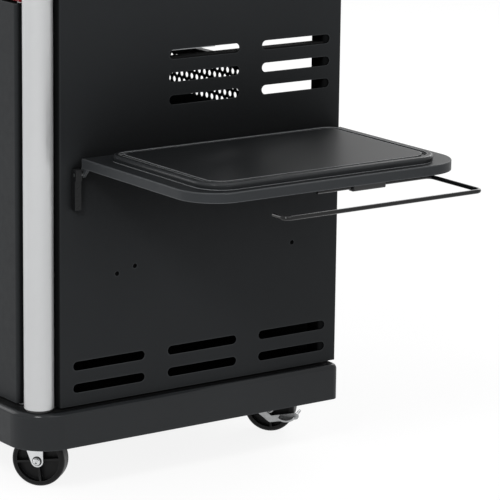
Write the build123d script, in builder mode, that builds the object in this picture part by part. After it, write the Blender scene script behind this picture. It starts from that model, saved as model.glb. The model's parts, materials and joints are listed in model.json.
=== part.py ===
# Gas barbecue grill on a cabinet cart: slotted side panels, silver front posts, castors,
# a fold-down side shelf with cutting board and towel rail, firebox, burners and hinged lid.
# Millimetres. Origin on the floor under the middle of the base, +X the grill's right side,
# -Y its front, +Z up.
from build123d import *
import os
from math import cos, radians, sin, sqrt

os.makedirs("parts", exist_ok=True)

# Common clearances and sheet
sheet = 1.5
running_gap = 0.3
pin_play = 0.05

# Base tray
cart_width = 720.0
base_overhang = 12.0
base_depth = 539.0
base_skirt = 28.5
base_height = 54.0
base_wall = 3.0
base_front_radius = 56.0
base_rear_radius = 12.0
base_edge_radius = 8.0
base_rib_height = 22.0

# Side panels with ventilation slots and accessory holes
panel_front_margin = 55.0
panel_height = 696.0
panel_gap = 3.5
panel_flange = 18.0
panel_bend_radius = 3.0
panel_foot_width = 6.0
panel_foot_inset = 8.0
slot_length = 120.5
slot_height = 13.5
slot_pitch = 160.0
slot_row_pitch = 32.5
slot_shift = 0.5
lower_slot_height = 25.0
upper_slot_height = 423.0
accessory_hole_diameter = 7.0
accessory_hole_spacing = 275.0
accessory_hole_height = 190.5
accessory_hole_shift = 21.0
spare_hole_offset = 30.0
spare_hole_drop = 7.5
stiffener_height = 482.0
stiffener_depth = 16.0
stiffener_thickness = 4.0

# Posts
post_diameter = 42.4
post_wall = 2.0
post_rise = 16.0
plug_depth = 24.0
plug_play = 0.1
cap_height = 6.0
rear_post_size = 30.0
rear_post_wall = 2.0
rear_post_corner = 3.0

# Rear panel with its perforated field
rear_panel_height = 425.5
rear_panel_right = 150.0
rear_notch_rise = 270.0
rear_panel_lip = 12.0
perforation_diameter = 9.0
perforation_pitch = 14.0
perforation_row_pitch = 12.0
perforation_columns = 15
perforation_rows = 5
perforation_top_margin = 24.0
perforation_side_margin = 34.0

# Doors and control fascia
door_gap = 3.0
door_fascia_gap = 3.0
door_front_setback = 5.3
door_thickness = 22.0
door_post_gap = 9.7
door_edge_radius = 6.0
hinge_pin_radius = 4.0
hinge_pin_grip = 12.0
hinge_collar_radius = 6.0
door_pivot_inset = 8.0
door_pivot_depth = 13.5
handle_diameter = 12.0
handle_length = 180.0
handle_standoff = 30.0
handle_edge_distance = 42.0
handle_drop = 60.0
fascia_height = 131.0
fascia_rise = 8.0
fascia_proud = 0.5
fascia_wall = 2.0
fascia_edge_radius = 5.0
fascia_post_gap = 1.7
rail_thickness = 3.0
rail_upstand = 23.0
rear_rail_size = 20.0
manifold_tab_width = 24.0
rear_rail_drop = 202.0

# Gas train
burner_pitch = 150.0
burner_count = 3
knob_height = 48.0
knob_skirt_radius = 25.0
knob_grip_radius = 19.0
knob_skirt_thickness = 6.0
knob_drum_length = 10.0
knob_bar_width = 11.0
knob_length = 30.0
knob_push = 4.0
knob_clearance = 1.0
knob_taper = 4.0
knob_edge_radius = 2.0
stem_radius = 4.0
stem_grip = 17.0
stem_tip_gap = 1.0
bezel_radius = 33.0
bezel_thickness = 3.0
bezel_bore = 9.0
fascia_hole_radius = 7.0
valve_width = 24.0
valve_height = 20.0
valve_length = 26.0
valve_setback = 24.0
stem_engagement = 13.0
orifice_radius = 6.0
orifice_length = 20.0
manifold_size = 18.0
manifold_edge_radius = 1.5
manifold_end_gap = 23.9
inlet_radius = 6.58
inlet_length = 18.0
inlet_nut = 20.0
inlet_nut_length = 8.0
inlet_inset = 17.0
inlet_notch = 36.0
igniter_offset = 80.0
igniter_radius = 10.0
igniter_barrel_radius = 12.9
igniter_barrel_length = 22.0
igniter_bezel_radius = 17.0
igniter_travel = 6.0
igniter_proud = 1.0
igniter_edge_radius = 2.5
igniter_length = 23.0

# Firebox and what lies in it
firebox_side_gap = 35.0
firebox_front = 22.5
firebox_rear = 27.5
firebox_wall = 2.0
firebox_box_height = 92.0
hopper_height = 90.0
spout_width = 284.0
spout_depth = 320.0
spout_height = 35.0
firebox_rim_thickness = 3.0
firebox_rim_side = 27.0
firebox_rim_front = 14.0
firebox_rim_rear = 40.0
ledge_width = 10.0
ledge_thickness = 2.0
grate_depth_below_rim = 22.0
tamer_depth_below_rim = 55.0
burner_radius = 13.0
burner_wall = 1.5
burner_mouth = 7.0
tamer_width = 110.0
tamer_height = 28.0
grate_thickness = 9.0
grate_bar = 8.0
grate_slot = 14.0
grate_border = 14.0
grate_play = 2.0

# Drip tray under the spout
runner_thickness = 2.0
runner_ledge = 12.0
runner_drop = 11.0
tray_wall = 1.5
tray_height = 24.0
tray_lip = 9.0
tray_length = 360.0
tray_pull_height = 18.0
pan_play = 4.0
pan_wall = 1.2
pan_height = 16.0

# Lid
lid_wall = 2.0
lid_overlap = 15.0
lid_front_height = 139.0
lid_front_rake = 32.0
lid_front_setback = 12.0
lid_rear_overhang = 12.0
lid_crown_height = 234.0
lid_crown_setback = 128.0
lid_back_height = 75.0
lid_back_radius = 25.0
lid_end_wall = 4.0
lid_end_rim = 20.0
lid_end_proud = 3.0
lid_pivot_height = 14.0
lid_pivot_setback = 14.0
lid_lug_radius = 8.0
lid_lug_thickness = 4.0
lid_lug_inset = 16.0
lid_bar_diameter = 24.0
lid_bar_length = 470.0
lid_bar_standoff = 48.0
lid_bar_height = 36.0
lid_bar_post_radius = 8.0
lid_bar_post_inset = 40.0
gauge_radius = 30.0
gauge_depth = 14.0
gauge_rim = 3.0
gauge_edge_radius = 1.5
gauge_height = 92.0
gauge_dial_recess = 5.0
gauge_lens_thickness = 1.5
gauge_lens_recess = 0.5
gauge_probe_radius = 4.0
gauge_probe_length = 60.0
needle_length = 21.0
needle_width = 3.0
needle_thickness = 1.0
needle_lift = 0.8
needle_post_radius = 1.0
needle_cold_angle = 120.0

# Fold-down side shelf
shelf_rise = 357.0
shelf_gap = 8.0
shelf_reach = 296.0
shelf_width = 448.0
shelf_front_margin = 31.8
shelf_rim = 14.0
shelf_wall = 2.0
shelf_corner_radius = 58.0
shelf_edge_radius = 1.5
shelf_pivot_offset = 5.5
shelf_pivot_drop = 23.0
bracket_width = 10.0
bracket_side_gap = 1.0
bracket_reach = 10.0
bracket_block_rise = 7.5
bracket_block_height = 16.0
bracket_leg_reach = 8.0
bracket_leg_length = 57.5
bracket_spacing = 429.0
shelf_pin_radius = 2.5
ear_radius = 5.0
ear_foot = 18.0
ear_thickness = 4.0
board_margin = 12.0
board_length = 394.0
board_width = 260.0
board_front_margin = 22.5
board_thickness = 9.5
board_corner_radius = 42.0
board_inner_radius = 28.0
board_edge_radius = 4.0
groove_inset = 9.0
groove_width = 7.0
groove_depth = 3.0
rail_wire_radius = 3.0
rail_drop = 19.0
rail_inner_inset = 17.0
rail_inner_length = 194.0
rail_outer_reach = 96.0
rail_rear_margin = 55.0
rail_outer_length = 328.0
rail_stub = 27.0
rail_bend_radius = 9.0
clip_length = 54.0
clip_width = 13.0
clip_wall = 2.5
clip_start = 58.0

# Castors
front_caster_side_inset = 108.4
front_caster_end_inset = 53.5
rear_caster_side_inset = 151.7
rear_caster_end_inset = 47.0
caster_head_room = 7.7
caster_boss_radius = 34.0
caster_plate_side = 50.0
caster_plate_thickness = 3.0
caster_race_radius = 20.0
caster_race_height = 7.0
kingpin_radius = 5.0
kingpin_head_radius = 8.0
kingpin_head_height = 3.0
fork_crown = 3.0
fork_race_height = 2.7
fork_plate = 2.5
fork_end_radius = 9.0
fork_crown_length = 44.0
cheek_lead = 33.0
cheek_back = 4.0
caster_trail = 25.0
wheel_radius = 39.0
wheel_width = 28.0
wheel_edge_radius = 5.0
wheel_rim_inner = 31.5
wheel_hub_radius = 10.0
wheel_hub_length = 30.0
wheel_recess = 9.0
wheel_ribs = 4
wheel_rib_thickness = 3.0
wheel_rib_angle = 7.0
axle_radius = 4.0
axle_head_radius = 5.5
axle_head_height = 3.5
lever_pivot_back = 4.0
lever_pivot_rise = 15.0
lever_pin_radius = 3.0
lever_gap = 0.3
lever_thickness = 2.5
lever_boss_radius = 6.0
lever_arm_radius = 5.0
lever_heel_back = 16.0
lever_heel_drop = 2.0
lever_knee_lead = 4.0
lever_knee_drop = 17.0
brake_bar_radius = 2.2
brake_bar_drop = 10.0
brake_bar_length = 30.0
brake_rest_gap = 3.0
pedal_reach = 18.0
pedal_length = 24.0
pedal_dish = 4.0
front_right_heading = 42.0
rear_right_heading = 42.0
front_left_heading = 70.0
rear_left_heading = 250.0

# Places worked out from the sizes above
kingpin_room = kingpin_head_height + caster_head_room
crown_bottom = 2 * wheel_radius + kingpin_room + running_gap
crown_top = crown_bottom + fork_crown
fork_race_top = crown_top + fork_race_height
race_bottom = fork_race_top + running_gap
plate_bottom = race_bottom + caster_race_height
caster_height = plate_bottom + caster_plate_thickness
base_bottom = caster_height - base_skirt
base_top = base_bottom + base_height
base_side = cart_width / 2 + base_overhang
front_caster_x = base_side - front_caster_side_inset
front_caster_y = front_caster_end_inset - base_depth / 2
rear_caster_x = base_side - rear_caster_side_inset
rear_caster_y = base_depth / 2 - rear_caster_end_inset
panel_x = cart_width / 2
panel_rear = base_depth / 2
panel_depth = base_depth - panel_front_margin
panel_front = panel_rear - panel_depth
panel_mid = (panel_front + panel_rear) / 2
panel_bottom = base_top + panel_gap
panel_top = panel_bottom + panel_height
panel_inside = panel_x - sheet
post_radius = post_diameter / 2
post_x = panel_x - post_radius
post_y = panel_front - post_radius
rear_post_x = panel_inside - rear_post_size / 2
rear_post_y = panel_rear - sheet - rear_post_size / 2
rear_post_inside = panel_inside - rear_post_size

door_front = post_y - post_radius + door_front_setback
door_outer = post_x - post_radius - door_post_gap
fascia_top = panel_top + fascia_rise
fascia_bottom = fascia_top - fascia_height
door_top = fascia_bottom - door_fascia_gap
door_height = door_top - panel_bottom
door_pivot_x = door_outer - door_pivot_inset
door_pivot_y = door_front + door_pivot_depth

fascia_front = door_front - fascia_proud
fascia_half = post_x - post_radius - fascia_post_gap
rail_bottom = fascia_bottom + fascia_wall
rail_top = rail_bottom + rail_thickness
rail_back = panel_front + sheet + rail_thickness
fascia_depth = rail_back - rail_thickness - running_gap - fascia_front
rear_panel_top = base_top + rear_panel_height
notch_z = base_top + rear_notch_rise
rear_rail_bottom = panel_top - rear_rail_drop
knob_z = fascia_bottom + knob_height
burner_xs = [burner_pitch * (i - (burner_count - 1) / 2) for i in range(burner_count)]

rim_top = panel_top + firebox_rim_thickness
firebox_width = cart_width - 2 * firebox_side_gap
firebox_depth = panel_depth - firebox_front - firebox_rear
firebox_y0 = panel_front + firebox_front
firebox_y1 = firebox_y0 + firebox_depth
firebox_mid = (firebox_y0 + firebox_y1) / 2
lid_y0 = firebox_y0 - lid_front_setback
lid_y1 = firebox_y1 + lid_rear_overhang
hopper_top = panel_top - firebox_box_height
hopper_bottom = hopper_top - hopper_height
spout_bottom = hopper_bottom - spout_height

shelf_height = panel_bottom + shelf_rise
shelf_x0 = panel_x + shelf_gap
shelf_x1 = shelf_x0 + shelf_reach
shelf_y0 = panel_front + shelf_front_margin
shelf_y1 = shelf_y0 + shelf_width
shelf_pivot_x = panel_x + shelf_pivot_offset
shelf_pivot_z = shelf_height - shelf_pivot_drop


def finish(piece, node):
    """Label a finished piece and write it as its own STEP file."""
    piece.part.label = node
    export_step(piece.part, f"parts/{node}.step")


# Base tray, a deep tray open underneath with ribs and a boss over each castor
caster_spots = [(side * front_caster_x, front_caster_y) for side in (1, -1)]
caster_spots += [(side * rear_caster_x, rear_caster_y) for side in (1, -1)]
with BuildPart() as base_tray:
    with BuildSketch(Plane.XY.offset(base_bottom)) as base_outline:
        Rectangle(cart_width + 2 * base_overhang, base_depth)
        fillet(base_outline.vertices().group_by(Axis.Y)[0], base_front_radius)
        fillet(base_outline.vertices().group_by(Axis.Y)[-1], base_rear_radius)
    extrude(amount=base_height)
    fillet(base_tray.faces().sort_by(Axis.Z)[-1].edges(), base_edge_radius)
    offset(amount=-base_wall, openings=base_tray.faces().sort_by(Axis.Z)[0])
    with Locations((0, 0, base_top - base_wall)):
        with GridLocations(cart_width / 3, 0, 2, 1):
            Box(base_wall, base_depth - 2 * base_wall, base_rib_height,
                align=(Align.CENTER, Align.CENTER, Align.MAX))
    with BuildSketch(Plane.XY.offset(caster_height)):
        with Locations(*caster_spots):
            Circle(caster_boss_radius)
    extrude(amount=base_top - base_wall - caster_height)
finish(base_tray, "base_tray")

# Side panels, folded steel pans with stadium slots
slot_columns = [panel_mid + slot_shift + slot_pitch * i for i in (-1, 0, 1)]
lower_rows = [panel_bottom + lower_slot_height + slot_row_pitch * i for i in range(2)]
upper_rows = [panel_bottom + upper_slot_height + slot_row_pitch * i for i in range(3)]
slot_spots = [(y, z) for y in slot_columns for z in lower_rows]
slot_spots += [(y, z) for y in slot_columns[1:] for z in upper_rows]
accessory_mid = panel_mid + accessory_hole_shift
accessory_z = panel_bottom + accessory_hole_height
accessory_front = accessory_mid - accessory_hole_spacing / 2
hole_spots = [(accessory_front + accessory_hole_spacing * i, accessory_z) for i in range(2)]
hole_spots += [(accessory_front - spare_hole_offset, accessory_z - spare_hole_drop)]
stiffener_back = panel_rear - sheet - rear_post_size
with BuildPart() as side_panel_right:
    with BuildSketch(Plane.XY.offset(panel_bottom)):
        with Locations((panel_x - panel_flange / 2, panel_mid)):
            Rectangle(panel_flange, panel_depth)
    extrude(amount=panel_height)
    fillet(side_panel_right.edges().filter_by(Axis.Z).group_by(Axis.X)[-1], panel_bend_radius)
    offset(amount=-sheet, openings=side_panel_right.faces().sort_by(Axis.X)[0])
    with BuildSketch(Plane.YZ.offset(panel_x)):
        with Locations(*slot_spots):
            SlotOverall(slot_length, slot_height)
        with Locations(*hole_spots):
            Circle(accessory_hole_diameter / 2)
    extrude(amount=-2 * sheet, mode=Mode.SUBTRACT)
    with Locations((panel_inside, panel_front + sheet, panel_bottom + stiffener_height)):
        Box(stiffener_depth, stiffener_back - panel_front - sheet, stiffener_thickness,
            align=(Align.MAX, Align.MIN, Align.CENTER))
    with Locations((panel_x - panel_foot_inset, panel_mid, base_top)):
        Box(panel_foot_width, panel_depth - 4 * panel_flange, panel_gap,
            align=(Align.MAX, Align.CENTER, Align.MIN))
finish(side_panel_right, "side_panel_right")

with BuildPart() as side_panel_left:
    add(mirror(side_panel_right.part, about=Plane.YZ, mode=Mode.PRIVATE))
finish(side_panel_left, "side_panel_left")

# Front posts, round tubes with a foot plug below and a domed cap above
post_spots = [(post_x, post_y), (-post_x, post_y)]
post_top = fascia_top + post_rise - cap_height
with BuildPart() as front_posts:
    with BuildSketch(Plane.XY.offset(panel_bottom)):
        with Locations(*post_spots):
            Circle(post_radius)
            Circle(post_radius - post_wall, mode=Mode.SUBTRACT)
    extrude(amount=post_top - panel_bottom)
finish(front_posts, "front_posts")

plug_radius = post_radius - post_wall - plug_play
with BuildPart() as post_plugs:
    with Locations(*[(x, y, base_top) for x, y in post_spots]):
        Cylinder(plug_radius, panel_gap + plug_depth, align=(Align.CENTER, Align.CENTER, Align.MIN))
    with Locations(*[(x, y, post_top) for x, y in post_spots]):
        Cylinder(post_radius, cap_height, align=(Align.CENTER, Align.CENTER, Align.MIN))
        Cylinder(plug_radius, plug_depth, align=(Align.CENTER, Align.CENTER, Align.MAX))
    fillet(post_plugs.faces().group_by(Axis.Z)[-1].edges(), 0.6 * cap_height)
finish(post_plugs, "post_plugs")

# Rear posts, square tubes in the rear corners
with BuildPart() as rear_posts:
    with BuildSketch(Plane.XY.offset(panel_bottom + sheet)):
        with Locations((rear_post_x, rear_post_y), (-rear_post_x, rear_post_y)):
            RectangleRounded(rear_post_size, rear_post_size, rear_post_corner)
            rear_bore = rear_post_size - 2 * rear_post_wall
            Rectangle(rear_bore, rear_bore, mode=Mode.SUBTRACT)
    extrude(amount=panel_height - 2 * sheet)
finish(rear_posts, "rear_posts")

# Rear panel: full width below, with a notch before the right post and a staggered perforated field above
rear_face = panel_rear - sheet
rear_width = rear_panel_right + rear_post_inside
notch_width = rear_post_inside - rear_panel_right
field_right = rear_panel_right - perforation_side_margin
field_top = rear_panel_top - perforation_top_margin
perforations = [
    (field_right - perforation_pitch * (column + 0.5 * (row % 2)), field_top - perforation_row_pitch * row)
    for row in range(perforation_rows)
    for column in range(perforation_columns)
]
with BuildPart() as rear_panel:
    with BuildSketch(Plane.XZ.offset(-rear_face)):
        with Locations((rear_panel_right, base_top)):
            Rectangle(rear_width, rear_panel_height, align=(Align.MAX, Align.MIN))
            Rectangle(notch_width, rear_notch_rise, align=(Align.MIN, Align.MIN))
        with Locations(*perforations):
            Circle(perforation_diameter / 2, mode=Mode.SUBTRACT)
    extrude(amount=sheet)
    with Locations((rear_post_inside, rear_face, base_top)):
        Box(2 * rear_post_inside, rear_panel_lip, sheet, align=(Align.MAX, Align.MAX, Align.MIN))
    with Locations((rear_panel_right - sheet, rear_face, notch_z)):
        Box(notch_width + sheet, rear_panel_lip, sheet, align=(Align.MIN, Align.MAX, Align.MAX))
    with Locations((rear_panel_right, rear_face, rear_panel_top)):
        Box(rear_width, rear_panel_lip, sheet, align=(Align.MAX, Align.MAX, Align.MAX))
        Box(sheet, rear_panel_lip, rear_panel_top - notch_z, align=(Align.MAX, Align.MAX, Align.MAX))
finish(rear_panel, "rear_panel")

# Cross rails: the folded front rail over the doors, with tabs for the manifold, and the square rear rail
rail_half = fascia_half - fascia_wall - running_gap
rail_front = fascia_front + fascia_edge_radius + running_gap
manifold_right = fascia_half - manifold_end_gap
inlet_x = manifold_right - inlet_inset
valve_front = fascia_front + valve_setback
valve_back = valve_front + valve_length
manifold_y = (valve_front + valve_back) / 2
manifold_top = knob_z - valve_height / 2
manifold_bottom = manifold_top - manifold_size
with BuildPart() as cross_rails:
    with Locations((0, rail_front, rail_bottom)):
        Box(2 * rail_half, rail_back - rail_front, rail_thickness,
            align=(Align.CENTER, Align.MIN, Align.MIN))
    with Locations((0, rail_back, rail_top)):
        Box(2 * (panel_x - panel_flange / 2), rail_thickness, rail_upstand,
            align=(Align.CENTER, Align.MAX, Align.MAX))
    with Locations((inlet_x, manifold_y, rail_top)):
        Box(inlet_notch, inlet_notch, 4 * rail_upstand, mode=Mode.SUBTRACT)
    for x in (burner_xs[0] + burner_pitch / 2, burner_xs[-1] - burner_pitch / 2):
        with Locations((x, manifold_y, rail_top)):
            Box(manifold_tab_width, rail_thickness, manifold_bottom - rail_top,
                align=(Align.CENTER, Align.CENTER, Align.MIN))
    with Locations((0, rear_face, rear_rail_bottom)):
        Box(2 * rear_post_inside, rear_rail_size, rear_rail_size,
            align=(Align.CENTER, Align.MAX, Align.MIN))
finish(cross_rails, "cross_rails")

# Control fascia, a folded cover with rounded front edges, open to the rear
igniter_x = burner_xs[-1] + igniter_offset
fascia_lip_end = door_pivot_y - hinge_collar_radius - running_gap
with BuildPart() as control_fascia:
    with BuildSketch(Plane.YZ) as fascia_section:
        with Locations((fascia_front, fascia_bottom)):
            Rectangle(fascia_depth, fascia_height, align=(Align.MIN, Align.MIN))
        fillet(fascia_section.vertices().group_by(Axis.X)[0], fascia_edge_radius)
    extrude(amount=fascia_half, both=True)
    offset(amount=-fascia_wall, openings=control_fascia.faces().sort_by(Axis.Y)[-1])
    with Locations((0, fascia_lip_end, fascia_bottom)):
        Box(2 * (fascia_half - fascia_wall), fascia_depth, 3 * fascia_wall,
            align=(Align.CENTER, Align.MIN, Align.CENTER), mode=Mode.SUBTRACT)
    with Locations(*[(x, fascia_front, knob_z) for x in burner_xs]):
        Cylinder(fascia_hole_radius, 4 * fascia_wall, rotation=(90, 0, 0), mode=Mode.SUBTRACT)
    with Locations((igniter_x, fascia_front, knob_z)):
        Cylinder(igniter_barrel_radius + pin_play, 4 * fascia_wall, rotation=(90, 0, 0),
                 mode=Mode.SUBTRACT)
finish(control_fascia, "control_fascia")

# Bezels, valves, stems and knobs
with BuildPart() as knob_bezels:
    with BuildSketch(Plane.XZ.offset(-fascia_front)):
        with Locations(*[(x, knob_z) for x in burner_xs]):
            Circle(bezel_radius)
            Circle(bezel_bore, mode=Mode.SUBTRACT)
    extrude(amount=bezel_thickness)
    chamfer(knob_bezels.faces().sort_by(Axis.Y)[:burner_count].edges(), 0.4 * bezel_thickness)
finish(knob_bezels, "knob_bezels")

knob_back = fascia_front - bezel_thickness - knob_push - knob_clearance
stem_front = knob_back - stem_grip
stem_back = valve_front + stem_engagement
with BuildPart() as gas_valves:
    with Locations(*[(x, valve_front, knob_z) for x in burner_xs]):
        Box(valve_width, valve_length, valve_height, align=(Align.CENTER, Align.MIN, Align.CENTER))
        Cylinder(stem_radius + pin_play, 2 * (stem_engagement + knob_push + knob_clearance),
                 rotation=(90, 0, 0), mode=Mode.SUBTRACT)
    with Locations(*[(x, valve_back + orifice_length / 2, knob_z) for x in burner_xs]):
        Cylinder(orifice_radius, orifice_length, rotation=(90, 0, 0))
finish(gas_valves, "gas_valves")


def valve_stem(x):
    """Turned stem that slides in the valve and carries the knob."""
    with BuildPart() as stem:
        with Locations((x, (stem_front + stem_back) / 2, knob_z)):
            Cylinder(stem_radius, stem_back - stem_front, rotation=(90, 0, 0))
    return stem


def control_knob(x):
    """Round knob: skirt, short drum, a finger bar across its face and a blind bore."""
    skirt_front = -knob_back + knob_skirt_thickness
    with BuildPart() as knob:
        with BuildSketch(Plane.XZ.offset(-knob_back)):
            with Locations((x, knob_z)):
                Circle(knob_skirt_radius)
        extrude(amount=knob_skirt_thickness)
        fillet(knob.faces().sort_by(Axis.Y)[0].edges(), knob_edge_radius)
        with BuildSketch(Plane.XZ.offset(skirt_front)):
            with Locations((x, knob_z)):
                Circle(knob_grip_radius)
        extrude(amount=knob_drum_length, taper=knob_taper)
        fillet(knob.faces().sort_by(Axis.Y)[0].edges(), knob_edge_radius)
        with BuildSketch(Plane.XZ.offset(skirt_front)):
            with Locations((x, knob_z)):
                SlotOverall(2 * (knob_grip_radius - knob_edge_radius), knob_bar_width, rotation=90)
        extrude(amount=knob_length - knob_skirt_thickness)
        fillet(knob.faces().sort_by(Axis.Y)[0].edges(), knob_edge_radius)
        with Locations((x, knob_back, knob_z)):
            Cylinder(stem_radius + pin_play, 2 * (stem_grip + stem_tip_gap), rotation=(90, 0, 0),
                     mode=Mode.SUBTRACT)
    return knob


for x, place in zip(burner_xs, ("left", "middle", "right")):
    finish(valve_stem(x), f"valve_stem_{place}")
    finish(control_knob(x), f"knob_{place}")

# Gas manifold, a square tube under the valves, and its inlet fitting
manifold_left = burner_xs[0] - valve_width
with BuildPart() as gas_manifold:
    with Locations((manifold_left, manifold_y, manifold_top)):
        Box(manifold_right - manifold_left, manifold_size, manifold_size,
            align=(Align.MIN, Align.CENTER, Align.MAX))
    fillet(gas_manifold.edges().filter_by(Axis.X), manifold_edge_radius)
finish(gas_manifold, "gas_manifold")

with BuildPart() as gas_inlet_fitting:
    with BuildSketch(Plane.XY.offset(manifold_bottom)):
        with Locations((inlet_x, manifold_y)):
            RegularPolygon(inlet_nut / 2, 6)
    extrude(amount=-inlet_nut_length)
    with BuildSketch(Plane.XY.offset(manifold_bottom - inlet_nut_length)):
        with Locations((inlet_x, manifold_y)):
            Circle(inlet_radius)
            Circle(inlet_radius / 2, mode=Mode.SUBTRACT)
    extrude(amount=-inlet_length)
finish(gas_inlet_fitting, "gas_inlet_fitting")

# Igniter, a barrel through the fascia with a sprung push button
barrel_front = fascia_front - bezel_thickness
button_front = barrel_front - igniter_travel - igniter_proud
with BuildPart() as igniter_housing:
    with Locations((igniter_x, fascia_front - bezel_thickness / 2, knob_z)):
        Cylinder(igniter_bezel_radius, bezel_thickness, rotation=(90, 0, 0))
    with Locations((igniter_x, fascia_front + igniter_barrel_length / 2, knob_z)):
        Cylinder(igniter_barrel_radius, igniter_barrel_length, rotation=(90, 0, 0))
    with Locations((igniter_x, barrel_front, knob_z)):
        Cylinder(igniter_radius + pin_play, 2 * igniter_length, rotation=(90, 0, 0), mode=Mode.SUBTRACT)
finish(igniter_housing, "igniter_housing")

with BuildPart() as igniter_button:
    with Locations((igniter_x, button_front + igniter_length / 2, knob_z)):
        Cylinder(igniter_radius, igniter_length, rotation=(90, 0, 0))
    fillet(igniter_button.faces().sort_by(Axis.Y)[0].edges(), igniter_edge_radius)
finish(igniter_button, "igniter_button")

# Firebox: box, hopper and spout in one sheet-metal tub, with ledges, rim and lid hinge ears
lid_width = firebox_width + 2 * lid_overlap
lid_pivot_y = lid_y1 + lid_pivot_setback
lid_pivot_z = rim_top + lid_pivot_height
ear_x = lid_width / 2 - lid_lug_inset
rim_y0 = firebox_y0 - firebox_rim_front
rim_y1 = firebox_y1 + firebox_rim_rear
inside_width = firebox_width - 2 * firebox_wall
inside_depth = firebox_depth - 2 * firebox_wall
grate_ledge = rim_top - grate_depth_below_rim
tamer_ledge = rim_top - tamer_depth_below_rim
with BuildPart() as firebox:
    with BuildSketch(Plane.XY.offset(hopper_top)):
        with Locations((0, firebox_mid)):
            Rectangle(firebox_width, firebox_depth)
    extrude(amount=firebox_box_height)
    with BuildSketch(Plane.XY.offset(hopper_top)):
        with Locations((0, firebox_mid)):
            Rectangle(firebox_width, firebox_depth)
    with BuildSketch(Plane.XY.offset(hopper_bottom)):
        with Locations((0, firebox_mid)):
            Rectangle(spout_width, spout_depth)
    loft()
    with BuildSketch(Plane.XY.offset(hopper_bottom)):
        with Locations((0, firebox_mid)):
            Rectangle(spout_width, spout_depth)
    extrude(amount=-spout_height)
    tub_ends = firebox.faces().filter_by(Axis.Z).sort_by(Axis.Z)
    offset(amount=-firebox_wall, openings=[tub_ends[0], tub_ends[-1]])
    with BuildSketch(Plane.XY.offset(panel_top)):
        with Locations((0, (rim_y0 + rim_y1) / 2)):
            Rectangle(firebox_width + 2 * firebox_rim_side, rim_y1 - rim_y0)
        with Locations((0, firebox_mid)):
            Rectangle(inside_width, inside_depth, mode=Mode.SUBTRACT)
    extrude(amount=firebox_rim_thickness)
    for ledge in (grate_ledge, tamer_ledge):
        with BuildSketch(Plane.XY.offset(ledge)):
            with Locations((0, firebox_mid)):
                Rectangle(inside_width, inside_depth)
                Rectangle(inside_width, inside_depth - 2 * ledge_width, mode=Mode.SUBTRACT)
        extrude(amount=-ledge_thickness)
    with Locations(*[(x, firebox_y0, knob_z) for x in burner_xs]):
        Cylinder(burner_radius + running_gap, 4 * firebox_wall, rotation=(90, 0, 0), mode=Mode.SUBTRACT)
    for side in (1, -1):
        with BuildSketch(Plane.YZ.offset(side * ear_x)):
            with Locations((lid_pivot_y, lid_pivot_z)):
                Circle(lid_lug_radius)
            with Locations((lid_pivot_y, rim_top)):
                Rectangle(2 * lid_lug_radius, firebox_rim_thickness, align=(Align.CENTER, Align.MIN))
            make_hull()
            with Locations((lid_pivot_y, lid_pivot_z)):
                Circle(hinge_pin_radius, mode=Mode.SUBTRACT)
        extrude(amount=-side * lid_lug_thickness)
finish(firebox, "firebox")

# Burners, flame tamers and grates
with BuildPart() as burners:
    burner_front = firebox_y0 - burner_mouth
    burner_back = firebox_y1 - firebox_wall - running_gap
    with Locations(*[(x, burner_front, knob_z) for x in burner_xs]):
        with Locations((0, (burner_back - burner_front) / 2, 0)):
            Cylinder(burner_radius, burner_back - burner_front, rotation=(90, 0, 0))
        Cylinder(burner_radius - burner_wall, 8 * burner_radius, rotation=(90, 0, 0), mode=Mode.SUBTRACT)
finish(burners, "burners")

tamer_front = firebox_y0 + firebox_wall + running_gap
tamer_length = inside_depth - 2 * running_gap
tamer_half = tamer_width / 2
tamer_foot = tamer_half - 3 * sheet
tamer_ridge = tamer_ledge + tamer_height
with BuildPart() as flame_tamers:
    for x in burner_xs:
        with BuildSketch(Plane.XZ.offset(-tamer_front)):
            with BuildLine():
                Polyline((x - tamer_half, tamer_ledge), (x, tamer_ridge), (x + tamer_half, tamer_ledge),
                         (x + tamer_foot, tamer_ledge), (x, tamer_ridge - 2 * sheet),
                         (x - tamer_foot, tamer_ledge), close=True)
            make_face()
        extrude(amount=-tamer_length)
finish(flame_tamers, "flame_tamers")

grate_width = inside_width / 2 - grate_play
grate_depth = inside_depth - 2 * grate_play
grate_pitch = grate_bar + grate_slot
slots_per_grate = int((grate_width - 2 * grate_border) / grate_pitch)
with BuildPart() as cooking_grates:
    with BuildSketch(Plane.XY.offset(grate_ledge)):
        with Locations((-inside_width / 4, firebox_mid), (inside_width / 4, firebox_mid)):
            Rectangle(grate_width, grate_depth)
            with GridLocations(grate_pitch, 0, slots_per_grate, 1):
                Rectangle(grate_slot, grate_depth - 2 * grate_border, mode=Mode.SUBTRACT)
    extrude(amount=grate_thickness)
finish(cooking_grates, "cooking_grates")

# Drip tray on two runners hung from the spout, with a loose pan in it
runner_x = spout_width / 2
runner_ledge_z = spout_bottom - runner_drop
with BuildPart() as tray_runners:
    for side in (1, -1):
        outward = Align.MIN if side > 0 else Align.MAX
        inward = Align.MAX if side > 0 else Align.MIN
        with Locations((side * runner_x, firebox_mid, runner_ledge_z)):
            Box(runner_thickness, spout_depth, runner_drop + spout_height / 2,
                align=(outward, Align.CENTER, Align.MIN))
            Box(runner_ledge, spout_depth, runner_thickness, align=(inward, Align.CENTER, Align.MIN))
finish(tray_runners, "tray_runners")

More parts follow.
